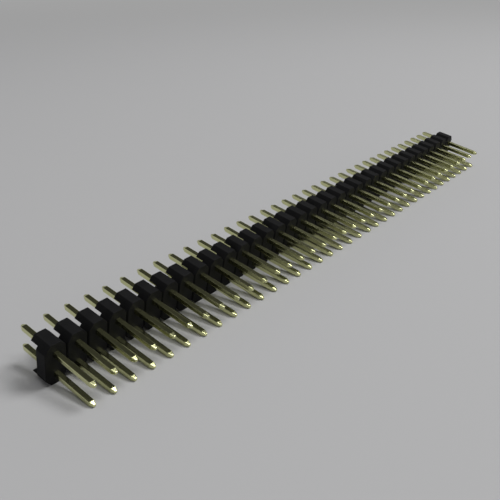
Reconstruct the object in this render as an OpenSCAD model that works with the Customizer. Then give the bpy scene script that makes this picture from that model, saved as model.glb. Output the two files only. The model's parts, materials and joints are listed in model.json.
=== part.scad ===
// Two-row pin header strip: a moulded housing with square pins pressed through it.
// It lies on its long side, and its long pins have tipped it over onto their ends.
// X runs along the strip, +Z is up, and the origin is under the middle of the strip,
// on the surface that it lies on. The long mating pins point towards -Y and the short
// solder tails towards +Y.

/* [Strip] */
// Number of pin columns along the strip
columns = 36; // [2:1:40]
// Number of pin rows, one above the other
rows = 2; // [2:1:3]
// Distance between neighbouring columns
column_pitch = 2.54; // [2.3:0.01:4]
// Distance between neighbouring rows
row_pitch = 2.54; // [2.3:0.01:4]

/* [Housing] */
// Depth of the housing along the pins
housing_depth = 2.5; // [2.2:0.1:5]
// Height of the housing past the middle of each outer row
row_margin = 1.27; // [1.1:0.01:2]
// Depth of the breaking notches between the columns, on both long sides
notch_depth = 0.85; // [0.3:0.01:1.1]
// Width of a breaking notch at its mouth
notch_width = 1.35; // [0.6:0.05:1.5]
// Depth of the open channel in the tail side
channel_depth = 1.1; // [0.3:0.05:1.2]
// Height of the feet that border the channel
foot_height = 0.6; // [0.3:0.01:0.7]
// Width of the breaking groove between the columns in the mating face
groove_width = 0.3; // [0.1:0.02:0.6]
// Depth of the breaking groove in the mating face
groove_depth = 0.25; // [0.05:0.01:0.4]

/* [Pins] */
// Side of the square pins
pin_side = 0.6; // [0.4:0.01:0.8]
// Width of the flats that break the long edges of a pin, measured along each side
pin_chamfer = 0.06; // [0.02:0.01:0.1]
// Length of the mating pins in front of the housing
mating_length = 5.8; // [3:0.1:15]
// Length of the solder tails behind the housing
tail_length = 3; // [1.5:0.1:12]
// Side of the flat end of a pin
tip_side = 0.3; // [0.1:0.01:0.38]
// Length of the tapered tip of a mating pin
mating_tip_length = 0.5; // [0.2:0.05:1.2]
// Length of the tapered tip of a solder tail
tail_tip_length = 0.4; // [0.2:0.05:1.2]
// Length of the coined ears that hold a pin in the housing
ear_length = 0.6; // [0.3:0.05:0.8]
// How far each ear stands out of the side of its pin
ear_height = 0.05; // [0.02:0.01:0.12]
// Gap between a pin and its hole on each side, none where the pin is pressed in
hole_gap = 0; // [0:0.01:0.06]

/* [Hidden] */
strip_length = columns * column_pitch;
housing_height = (rows - 1) * row_pitch + 2 * row_margin;
web_depth = housing_depth - channel_depth;

// How far a cut reaches past the surface that it opens
cut = 0.1;

// The strip leans until its lower mating pins touch the surface, with the shoulder of
// the taper or with the flat end, whichever comes first.
pin_underside = row_margin - pin_side / 2;
shoulder_lean = atan(pin_underside / (mating_length - mating_tip_length));
end_lean = atan((row_margin - tip_side / 2) / mating_length);
lean = min(shoulder_lean, end_lean);
rest_height = housing_height / 2 * cos(lean);
rest_offset = (mating_length - housing_depth - tail_length) / 2 * cos(lean);

function column_name(i) = str("pin_column_", i < 10 ? "0" : "", i);
function column_x(i) = (i - (columns + 1) / 2) * column_pitch;
function row_z(j) = (j - (rows + 1) / 2) * row_pitch;

// Turns the upright strip over onto the tips of its lower pins. Before the turn, the
// mating face of the housing is at y = 0 and the middle of its height at z = 0.
module at_rest() {
    translate([0, rest_offset, rest_height]) rotate([lean, 0, 0]) children();
}

// Front view of the housing: one long bar, notched on both sides between the columns.
module housing_outline() {
    difference() {
        square([strip_length, housing_height], center = true);
        for (i = [0:columns], side = [-1, 1])
            translate([(i - columns / 2) * column_pitch, side * housing_height / 2])
                polygon([
                    [-notch_width / 2, 0],
                    [-notch_width / 2, side * cut],
                    [notch_width / 2, side * cut],
                    [notch_width / 2, 0],
                    [0, -side * notch_depth]
                ]);
    }
}

// Extrudes a front view from depth y0 to depth y1.
module along_pins(y0, y1) {
    translate([0, y1, 0]) rotate([90, 0, 0]) linear_extrude(y1 - y0) children();
}

// Open channel that runs the whole length of the tail side, between the feet.
module channel() {
    along_pins(web_depth, housing_depth + cut)
        square([strip_length + 2 * cut, housing_height - 2 * foot_height], center = true);
}

// Upright V-groove in the mating face, where the strip is snapped to length.
module breaking_groove() {
    linear_extrude(housing_height + 2 * cut, center = true)
        polygon([[-groove_width / 2, -cut], [groove_width / 2, -cut],
                 [groove_width / 2, 0], [0, groove_depth], [-groove_width / 2, 0]]);
}

// Hole for one pin, with the pocket that its ears press into the plastic.
module pin_hole() {
    hole = pin_side + 2 * hole_gap;
    along_pins(-cut, web_depth + cut) square(hole, center = true);
    translate([0, web_depth / 2, 0])
        cube([hole + 2 * ear_height, ear_length + 2 * hole_gap, hole], center = true);
}

// Long outline of a pin, seen square on, with its tapered ends.
module pin_outline() {
    front = -mating_length;
    back = housing_depth + tail_length;
    polygon([
        [-tip_side / 2, front],
        [tip_side / 2, front],
        [pin_side / 2, front + mating_tip_length],
        [pin_side / 2, back - tail_tip_length],
        [tip_side / 2, back],
        [-tip_side / 2, back],
        [-pin_side / 2, back - tail_tip_length],
        [-pin_side / 2, front + mating_tip_length]
    ]);
}

// Cross-section of a pin: a square with its four corners cut off.
module pin_section() {
    half_diagonal = pin_side - pin_chamfer;
    intersection() {
        square(pin_side, center = true);
        rotate(45) square(sqrt(2) * half_diagonal, center = true);
    }
}

// One square pin, tapered on all four sides at both ends, with an ear on each side.
module pin() {
    intersection() {
        linear_extrude(pin_side, center = true) pin_outline();
        rotate([0, 90, 0]) linear_extrude(pin_side, center = true) pin_outline();
        along_pins(-mating_length, housing_depth + tail_length) pin_section();
    }
    translate([0, web_depth / 2, 0])
        cube([pin_side + 2 * ear_height, ear_length, pin_side], center = true);
}

module housing() {
    color("#222222") at_rest() difference() {
        along_pins(0, housing_depth) housing_outline();
        channel();
        for (i = [1:columns - 1])
            translate([(i - columns / 2) * column_pitch, 0, 0]) breaking_groove();
        for (i = [1:columns], j = [1:rows])
            translate([column_x(i), 0, row_z(j)]) pin_hole();
    }
}

module pin_column(i) {
    color("#ccce9c") at_rest()
        for (j = [1:rows]) translate([column_x(i), 0, row_z(j)]) pin();
}

housing();
for (i = [1:columns])
    pin_column(i);
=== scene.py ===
"""Looks of a pin header strip: a moulded black housing and plated pins, on a pale floor.

The strip lies on its long side and leans on the tips of its lower pins. Places are worked
out in the strip's own directions, which the record's mounts give: along the strip, along
the pins towards their solder tails, and across the rows. The pins' sizes are measured on
their CAD nodes. Named lengths are in millimetres, but for those of the stage. The meshes
and the lamps are in metres.
"""

import json
import math
from types import SimpleNamespace

import bmesh
import bpy
import numpy as np
from mathutils import Matrix, Vector


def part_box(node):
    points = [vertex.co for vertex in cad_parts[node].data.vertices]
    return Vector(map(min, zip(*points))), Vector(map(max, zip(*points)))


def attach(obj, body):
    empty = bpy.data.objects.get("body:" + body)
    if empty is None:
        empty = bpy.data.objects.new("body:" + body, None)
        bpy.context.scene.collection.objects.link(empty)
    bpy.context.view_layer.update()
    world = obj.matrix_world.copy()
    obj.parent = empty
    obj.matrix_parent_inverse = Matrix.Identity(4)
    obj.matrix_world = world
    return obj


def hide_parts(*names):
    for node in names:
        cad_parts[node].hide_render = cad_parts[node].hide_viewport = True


MM = 0.001

# Lengths that differ by less than this are the same
SAME = 0.001

# Radius of the long edges of a pin, and how far its other corners are rounded
PIN_CORNER = 0.08
PIN_ROUNDING = 0.05
# Steps in the arc of a long edge, and in the arc of another corner
CORNER_STEPS = 4
ROUNDING_STEPS = 3
# The most of a short side that the rounding of one of its corners takes up
MOST_ROUNDING = 0.35
# The most of a half width that the radius of a long edge takes up
MOST_CORNER = 0.6
# How far beside a rounded corner the point lies that keeps the flat flat, in corner sizes
SUPPORT = 1.3
# Standard deviations of a pin's two turns and of the half width of its mating tip
SPREADS = (math.radians(0.25), math.radians(0.25), 0.015)
PIN_SEED = 44850

# Roundness of the housing's outer edges
MOULD_RADIUS = 0.04
# Faces that meet at less than the first angle are one, and at more than the second an edge
FLAT = math.radians(1)
SHARP = math.radians(20)

# Camera: the point of the table top it aims at, its turns round that point in degrees, and
# its distance and lens
AIM = (-9.46, 4.7, 0.0)
AZIMUTH = -50.43
ELEVATION = 26.09
ROLL = -0.3
DISTANCE = 90.2
LENS = 46.35
SENSOR = 36.0

# Stage, in metres: half the side of the table top, and where it fades into the walls
TABLE_HALF = 1.5
FADE_FROM = 0.10
FADE_TO = 0.45
WALLS = "#a2a2a2"


# ---------------------------------------------------------------- frame of the strip

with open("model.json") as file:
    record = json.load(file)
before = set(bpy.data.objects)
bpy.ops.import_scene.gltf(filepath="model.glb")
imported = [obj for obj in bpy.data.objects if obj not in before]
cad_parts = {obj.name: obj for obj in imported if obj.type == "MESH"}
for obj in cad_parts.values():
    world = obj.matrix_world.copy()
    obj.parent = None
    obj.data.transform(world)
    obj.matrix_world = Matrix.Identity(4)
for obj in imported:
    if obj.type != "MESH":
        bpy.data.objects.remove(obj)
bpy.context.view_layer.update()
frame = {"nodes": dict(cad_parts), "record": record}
mounts = {mount["name"]: mount for mount in frame["record"]["mounts"]}

ALONG = np.array([1.0, 0.0, 0.0])
TAILWARD = np.array(mounts["solder_tails"]["axis"])
ACROSS = np.cross(ALONG, TAILWARD)
STRIP_AXES = np.array([ALONG, TAILWARD, ACROSS])
MATING_FACE = np.array(mounts["mating_pins"]["pos_m"])


def place(points):
    """Strip coordinates in mm (along, tailward, across) turned into places in metres."""
    return MATING_FACE + (np.asarray(points) * MM) @ STRIP_AXES


def strip_coordinates(corners):
    """The reverse of place, for the corners of a mesh: mm along the strip's directions."""
    points = np.array([corner.co for corner in corners])
    return (points - MATING_FACE) @ STRIP_AXES.T / MM


def measured_pin(node):
    """Sizes of one pin in mm, measured on the corners of a column's CAD node. The ends are the
    furthest corners along the pin, the ears stand out furthest along the strip, and a taper
    starts at the last corners that are as far out as the sides."""
    along, depth, across = strip_coordinates(frame["nodes"][node].data.vertices).T
    along = np.abs(along - (along.min() + along.max()) / 2)
    at_start = depth < depth.min() + SAME
    row = np.abs(across[at_start]).mean()
    half = np.abs(across).max() - row
    sides = depth[np.abs(along - half) < SAME]
    ears = depth[along > half + SAME]
    return SimpleNamespace(
        row=row,
        half=half,
        tip_half=along[at_start].max(),
        ear_half=along.max(),
        start=depth.min(),
        end=depth.max(),
        first_shoulder=sides.min(),
        last_shoulder=sides.max(),
        ear_start=ears.min(),
        ear_end=ears.max(),
    )


COLUMN_NODES = sorted(name for name in frame["nodes"] if name.startswith("pin_column_"))
COLUMN_MIDDLES = np.array([np.mean(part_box(node), axis=0)[0] / MM for node in COLUMN_NODES])
PIN = measured_pin(COLUMN_NODES[0])


# ---------------------------------------------------------------- colours and nodes


def linear(hex_colour):
    """An sRGB hex value as linear red, green, blue and alpha."""
    parts = [int(hex_colour[start:start + 2], 16) / 255 for start in (1, 3, 5)]
    linear_parts = [
        part / 12.92 if part <= 0.04045 else ((part + 0.055) / 1.055) ** 2.4
        for part in parts
    ]
    return linear_parts + [1.0]


def add(tree, kind, inputs=None, stops=(), **settings):
    """Adds a node to tree. A tuple in inputs is a link from (node, output), and any other value
    is set on the socket. Stops are the (position, hex colour) pairs of a colour ramp, and
    settings are the node's own properties."""
    node = tree.nodes.new(kind)
    for name, value in settings.items():
        setattr(node, name, value)
    for name, value in (inputs or {}).items():
        socket = node.inputs[name]
        if isinstance(value, tuple):
            tree.links.new(value[0].outputs[value[1]], socket)
        else:
            socket.default_value = value
    for index, (position, hex_colour) in enumerate(stops):
        elements = node.color_ramp.elements
        element = elements[index] if index < len(elements) else elements.new(position)
        element.position = position
        element.color = linear(hex_colour)
    return node


def new_material(name):
    """A material with an empty node tree."""
    material = bpy.data.materials.new(name)
    material.use_nodes = True
    material.node_tree.nodes.clear()
    return material


# ---------------------------------------------------------------- materials


def moulded_pbt():
    """Black glass-filled PBT, injection moulded in a spark-eroded tool: a fine matt skin that
    shines softly at a low angle, with faint clouds where the melt flowed."""
    material = new_material("moulded_black_pbt")
    tree = material.node_tree
    where = (add(tree, "ShaderNodeTexCoord"), "Object")
    # Flow clouds about 1.6 mm across, barely lighter than the rest
    clouds = add(tree, "ShaderNodeTexNoise", {
        "Vector": where,
        "Scale": 1 / (1.6 * MM),
        "Detail": 3.0,
    })
    colour = add(
        tree, "ShaderNodeValToRGB", {"Fac": (clouds, "Fac")},
        stops=[(0.35, "#0c0c0d"), (0.70, "#141415")],
    )
    # Patches about 0.4 mm across, where the tool's skin came out a little smoother
    patches = add(tree, "ShaderNodeTexNoise", {"Vector": where, "Scale": 1 / (0.4 * MM)})
    roughness = add(tree, "ShaderNodeMapRange", {
        "Value": (patches, "Fac"),
        "To Min": 0.60,
        "To Max": 0.75,
    })
    # Spark-eroded grain, drawn at 0.09 mm, as the real 0.03 mm is too fine to show
    skin = add(tree, "ShaderNodeTexNoise", {"Vector": where, "Scale": 1 / (0.09 * MM)})
    bump = add(tree, "ShaderNodeBump", {
        "Height": (skin, "Fac"),
        "Strength": 0.8,
        "Distance": 0.02 * MM,
    })
    shader = add(tree, "ShaderNodeBsdfPrincipled", {
        "Base Color": (colour, "Color"),
        "Roughness": (roughness, "Result"),
        "IOR": 1.5,
        "Specular IOR Level": 0.15,
        "Normal": (bump, "Normal"),
    })
    add(tree, "ShaderNodeOutputMaterial", {"Surface": (shader, "BSDF")})
    return material


def plated_wire():
    """Drawn brass wire with a thin flash of gold over nickel: pale greenish gold, bright, with
    fine lines along the wire."""
    material = new_material("gold_flashed_brass_wire")
    tree = material.node_tree
    where = (add(tree, "ShaderNodeTexCoord"), "Object")
    # Thin and thick spots of the flash, about 1.2 mm across: paler where nickel shows through
    spots = add(tree, "ShaderNodeTexNoise", {"Vector": where, "Scale": 1 / (1.2 * MM)})
    colour = add(
        tree, "ShaderNodeValToRGB", {"Fac": (spots, "Fac")},
        stops=[(0.30, "#d6d7a4"), (0.75, "#ccce9c")],
    )
    # Turned so that Y runs along the pins, and then stretched 100 times that way
    lean = math.atan2(TAILWARD[2], TAILWARD[1])
    stretched = add(
        tree, "ShaderNodeMapping",
        {"Vector": where, "Rotation": [lean, 0.0, 0.0], "Scale": [1.0, 100.0, 1.0]},
        vector_type="TEXTURE",
    )
    # Drawing lines 0.05 mm apart
    lines = add(tree, "ShaderNodeTexNoise", {
        "Vector": (stretched, "Vector"),
        "Scale": 1 / (0.05 * MM),
    })
    roughness = add(tree, "ShaderNodeMapRange", {
        "Value": (lines, "Fac"),
        "To Min": 0.11,
        "To Max": 0.23,
    })
    bump = add(tree, "ShaderNodeBump", {
        "Height": (lines, "Fac"),
        "Strength": 0.25,
        "Distance": 0.003 * MM,
    })
    shader = add(tree, "ShaderNodeBsdfPrincipled", {
        "Base Color": (colour, "Color"),
        "Metallic": 1.0,
        "Roughness": (roughness, "Result"),
        "Normal": (bump, "Normal"),
    })
    add(tree, "ShaderNodeOutputMaterial", {"Surface": (shader, "BSDF")})
    return material


def pale_table_top():
    """Smooth pale grey laminate, matt. Far from the strip, what the eye and the metal see of it
    fades into the walls, so no dark rim shows where the lamps don't reach."""
    material = new_material("pale_table_top")
    tree = material.node_tree
    table = add(tree, "ShaderNodeBsdfPrincipled", {
        "Base Color": linear("#bababb"),
        "Roughness": 0.8,
        "Specular IOR Level": 0.1,
    })
    walls = add(tree, "ShaderNodeEmission", {"Color": linear(WALLS), "Strength": 1.0})
    where = (add(tree, "ShaderNodeTexCoord"), "Object")
    distance = add(tree, "ShaderNodeVectorMath", {0: where}, operation="LENGTH")
    far = add(
        tree, "ShaderNodeMapRange",
        {"Value": (distance, "Value"), "From Min": FADE_FROM, "From Max": FADE_TO},
        interpolation_type="SMOOTHSTEP",
    )
    path = add(tree, "ShaderNodeLightPath")
    seen = (path, "Is Camera Ray")
    for ray in ("Is Glossy Ray", "Is Transmission Ray"):
        seen = (add(tree, "ShaderNodeMath", {0: seen, 1: (path, ray)}, operation="MAXIMUM"), 0)
    share = add(tree, "ShaderNodeMath", {0: seen, 1: (far, "Result")}, operation="MULTIPLY")
    surface = add(tree, "ShaderNodeMixShader", {0: (share, 0), 1: (table, 0), 2: (walls, 0)})
    add(tree, "ShaderNodeOutputMaterial", {"Surface": (surface, 0)})
    return material


# ---------------------------------------------------------------- pieces


def finished(piece, slot, *nodes):
    """Puts a finished piece in the scene. It rides on the strip's one body and stands for CAD
    nodes. Slot, one of the record's material slots, is not used."""
    bpy.context.scene.collection.objects.link(piece)
    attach(piece, "root")
    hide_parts(*nodes)


def rounded_line(corners):
    """A line through corners, each inner one replaced by a quadratic arc that starts and ends
    PIN_ROUNDING away from it, or less beside a short side. One more point on the straight at
    each end of the arc keeps the straight straight under smooth shading."""
    corners = np.asarray(corners, dtype=float)
    inner = corners[1:-1]
    back, on = corners[:-2] - inner, corners[2:] - inner
    side_back = np.linalg.norm(back, axis=1, keepdims=True)
    side_on = np.linalg.norm(on, axis=1, keepdims=True)
    reach = np.minimum(PIN_ROUNDING, MOST_ROUNDING * np.minimum(side_back, side_on))
    t = np.linspace(0, 1, ROUNDING_STEPS + 1)
    share_back = np.concatenate([[SUPPORT], (1 - t) ** 2, [0]])[:, None]
    share_on = np.concatenate([[0], t ** 2, [SUPPORT]])[:, None]
    arcs = (
        inner[:, None]
        + share_back * (back * reach / side_back)[:, None]
        + share_on * (on * reach / side_on)[:, None]
    )
    return np.vstack([corners[:1], arcs.reshape(-1, 2), corners[-1:]])


def rounded_sections(half_widths, half_heights):
    """Cross-sections of a square wire with round corners, one for each pair of half sides, as
    an array (sections, points, 2). A corner is a quarter of a circle round a point that lies
    one radius in from both sides. One more point on each flat, just beside the arc, keeps the
    flat flat under smooth shading."""
    shorter = np.minimum(half_widths, half_heights)
    radius = np.minimum(PIN_CORNER, MOST_CORNER * shorter)[:, None]
    # A point is a complex number, across + up * 1j, so a product with 1j is a quarter turn
    arc = np.exp(1j * np.linspace(0, math.pi / 2, CORNER_STEPS + 1))
    beside = 1 - SUPPORT
    quarter = np.concatenate([[1 + beside * 1j], arc, [beside + 1j]])
    turns = np.array([1, 1j, -1, -1j])
    outline = np.outer(turns, quarter).ravel()
    signs = np.repeat(turns * (1 + 1j), len(quarter))
    across = signs.real * (half_widths[:, None] - radius) + radius * outline.real
    up = signs.imag * (half_heights[:, None] - radius) + radius * outline.imag
    return np.stack([across, up], axis=2)


def tube_faces(rings, points):
    """Faces of a closed tube of rings, with a pole at each end: the first vertex is the pole
    before the first ring, and the last vertex is the pole after the last ring."""
    start = 1 + np.arange(rings - 1)[:, None] * points
    here = np.arange(points)
    there = (here + 1) % points
    after = start + points
    quads = np.stack([start + here, after + here, after + there, start + there], axis=-1)
    last = 1 + (rings - 1) * points
    end = np.full(points, 1 + rings * points)
    start_fan = np.stack([np.zeros_like(here), 1 + here, 1 + there], axis=-1)
    end_fan = np.stack([end, last + there, last + here], axis=-1)
    return quads.reshape(-1, 4).tolist() + start_fan.tolist() + end_fan.tolist()


def pin(name, middle, side, material, chance):
    """A square wire with round corners, carried along its axis. Its half width follows a line
    with a taper at each end and an ear inside the housing, and its half height does too, but
    for the ear. Chance turns it by a hair, as a machine presses no two pins in alike, and
    coins its mating tip a little blunter or sharper. A lower pin is never turned down into
    the table top that it rests on."""
    yaw, pitch, blunt = chance.normal(0, SPREADS)
    if side < 0:
        pitch = -abs(pitch)
    line = rounded_line([
        (PIN.start, 0.0),
        (PIN.start, PIN.tip_half + blunt),
        (PIN.first_shoulder, PIN.half),
        (PIN.ear_start, PIN.half),
        (PIN.ear_start, PIN.ear_half),
        (PIN.ear_end, PIN.ear_half),
        (PIN.ear_end, PIN.half),
        (PIN.last_shoulder, PIN.half),
        (PIN.end, PIN.tip_half),
        (PIN.end, 0.0),
    ])
    depth, half = line[1:-1].T
    sections = rounded_sections(half, np.minimum(half, PIN.half))
    rings, points = sections.shape[:2]
    along, across = sections.reshape(-1, 2).T
    tube = np.stack([along, np.repeat(depth, points), across], axis=1)
    local = np.vstack([[0, PIN.start, 0], tube, [0, PIN.end, 0]])
    local[:, 0] += yaw * local[:, 1]
    local[:, 2] += pitch * local[:, 1]
    mesh = bpy.data.meshes.new(name)
    mesh.from_pydata(place(local + [middle, 0, side * PIN.row]), [], tube_faces(rings, points))
    mesh.materials.append(material)
    mesh.shade_smooth()
    return bpy.data.objects.new(name, mesh)


def pins(material):
    """Every pin as a piece of its own. The two pins of a column stand for its CAD node."""
    chance = np.random.default_rng(PIN_SEED)
    for node, middle in zip(COLUMN_NODES, COLUMN_MIDDLES):
        for row, side in (("lower", -1), ("upper", 1)):
            name = f"{node.replace('_column', '')}_{row}"
            finished(pin(name, middle, side, material, chance), "pin_metal", node)


def outer_edge(edge):
    """True for a sharp edge that stands proud and isn't part of a pin's hole or its pocket."""
    if len(edge.link_faces) != 2 or edge.calc_face_angle_signed(0) < SHARP:
        return False
    along, _, across = strip_coordinates(edge.verts).T
    from_column = np.abs(along[:, None] - COLUMN_MIDDLES).min(axis=1)
    from_row = np.abs(np.abs(across) - PIN.row)
    return np.maximum(from_column, from_row).max() > PIN.ear_half + SAME


def housing(material):
    """The housing's own shape with its outer edges rounded, as a moulded part's are."""
    mesh = frame["nodes"]["housing"].data.copy()
    mesh.name = "housing_moulding"
    solid = bmesh.new()
    solid.from_mesh(mesh)
    bmesh.ops.remove_doubles(solid, verts=solid.verts, dist=SAME * MM)
    bmesh.ops.dissolve_limit(solid, angle_limit=FLAT, verts=solid.verts, edges=solid.edges)
    bmesh.ops.bevel(
        solid,
        geom=[edge for edge in solid.edges if outer_edge(edge)],
        offset=MOULD_RADIUS * MM,
        segments=2,
        profile=0.5,
        affect="EDGES",
        clamp_overlap=True,
    )
    solid.to_mesh(mesh)
    solid.free()
    mesh.materials.clear()
    mesh.materials.append(material)
    finished(bpy.data.objects.new("housing_moulding", mesh), "moulding", "housing")


# ---------------------------------------------------------------- stage


def floor(material):
    """A square of table top at the height that the strip lies on."""
    signs = [(-1, -1, 0), (1, -1, 0), (1, 1, 0), (-1, 1, 0)]
    mesh = bpy.data.meshes.new("table_top")
    mesh.from_pydata(TABLE_HALF * np.array(signs), [], [(0, 1, 2, 3)])
    mesh.materials.append(material)
    table = bpy.data.objects.new("table_top", mesh)
    bpy.context.scene.collection.objects.link(table)


def softbox(name, direction, distance, side, share):
    """A square lamp, side metres wide, that shines on the strip from direction. Share is its
    part of the floor's light, where 1 shows a colour as it is written."""
    towards = Vector(direction).normalized()
    lamp = bpy.data.lights.new(name, "AREA")
    lamp.size = side
    lamp.energy = share * math.pi ** 2 * distance ** 2 / towards.z
    holder = bpy.data.objects.new(name, lamp)
    holder.location = towards * distance
    holder.rotation_euler = towards.to_track_quat("Z", "Y").to_euler()
    bpy.context.scene.collection.objects.link(holder)


def surroundings():
    """A plain room: pale walls round the horizon under a dark ceiling."""
    world = bpy.data.worlds.new("room")
    bpy.context.scene.world = world
    world.use_nodes = True
    tree = world.node_tree
    tree.nodes.clear()
    direction = add(tree, "ShaderNodeTexCoord")
    parts = add(tree, "ShaderNodeSeparateXYZ", {"Vector": (direction, "Generated")})
    # Over the sine of the angle above the horizon
    room = add(
        tree, "ShaderNodeValToRGB", {"Fac": (parts, "Z")},
        stops=[(0.0, WALLS), (0.35, WALLS), (0.60, "#3a3a3a"), (1.0, "#303030")],
    )
    background = add(tree, "ShaderNodeBackground", {"Color": (room, "Color"), "Strength": 1.0})
    add(tree, "ShaderNodeOutputWorld", {"Surface": (background, "Background")})


def camera():
    """The camera, turned round the point that it aims at."""
    azimuth, elevation = math.radians(AZIMUTH), math.radians(ELEVATION)
    back = Vector((
        math.sin(azimuth) * math.cos(elevation),
        -math.cos(azimuth) * math.cos(elevation),
        math.sin(elevation),
    ))
    lens = bpy.data.cameras.new("camera")
    lens.lens = LENS
    lens.sensor_width = SENSOR
    lens.clip_start = 1 * MM
    holder = bpy.data.objects.new("camera", lens)
    turn = back.to_track_quat("Z", "Y").to_matrix().to_4x4()
    spot = Matrix.Translation((Vector(AIM) + back * DISTANCE) * MM)
    holder.matrix_world = spot @ turn @ Matrix.Rotation(math.radians(ROLL), 4, "Z")
    bpy.context.scene.collection.objects.link(holder)
    bpy.context.scene.camera = holder


# ---------------------------------------------------------------- the scene

bpy.context.scene.view_settings.view_transform = "Standard"
camera()
surroundings()
softbox("key_lamp", direction=(0.43, -0.375, 0.825), distance=0.9, side=0.36, share=0.53)
softbox("overhead_lamp", direction=(-0.10, -0.22, 0.97), distance=0.8, side=0.65, share=0.32)
floor(pale_table_top())
housing(moulded_pbt())
pins(plated_wire())
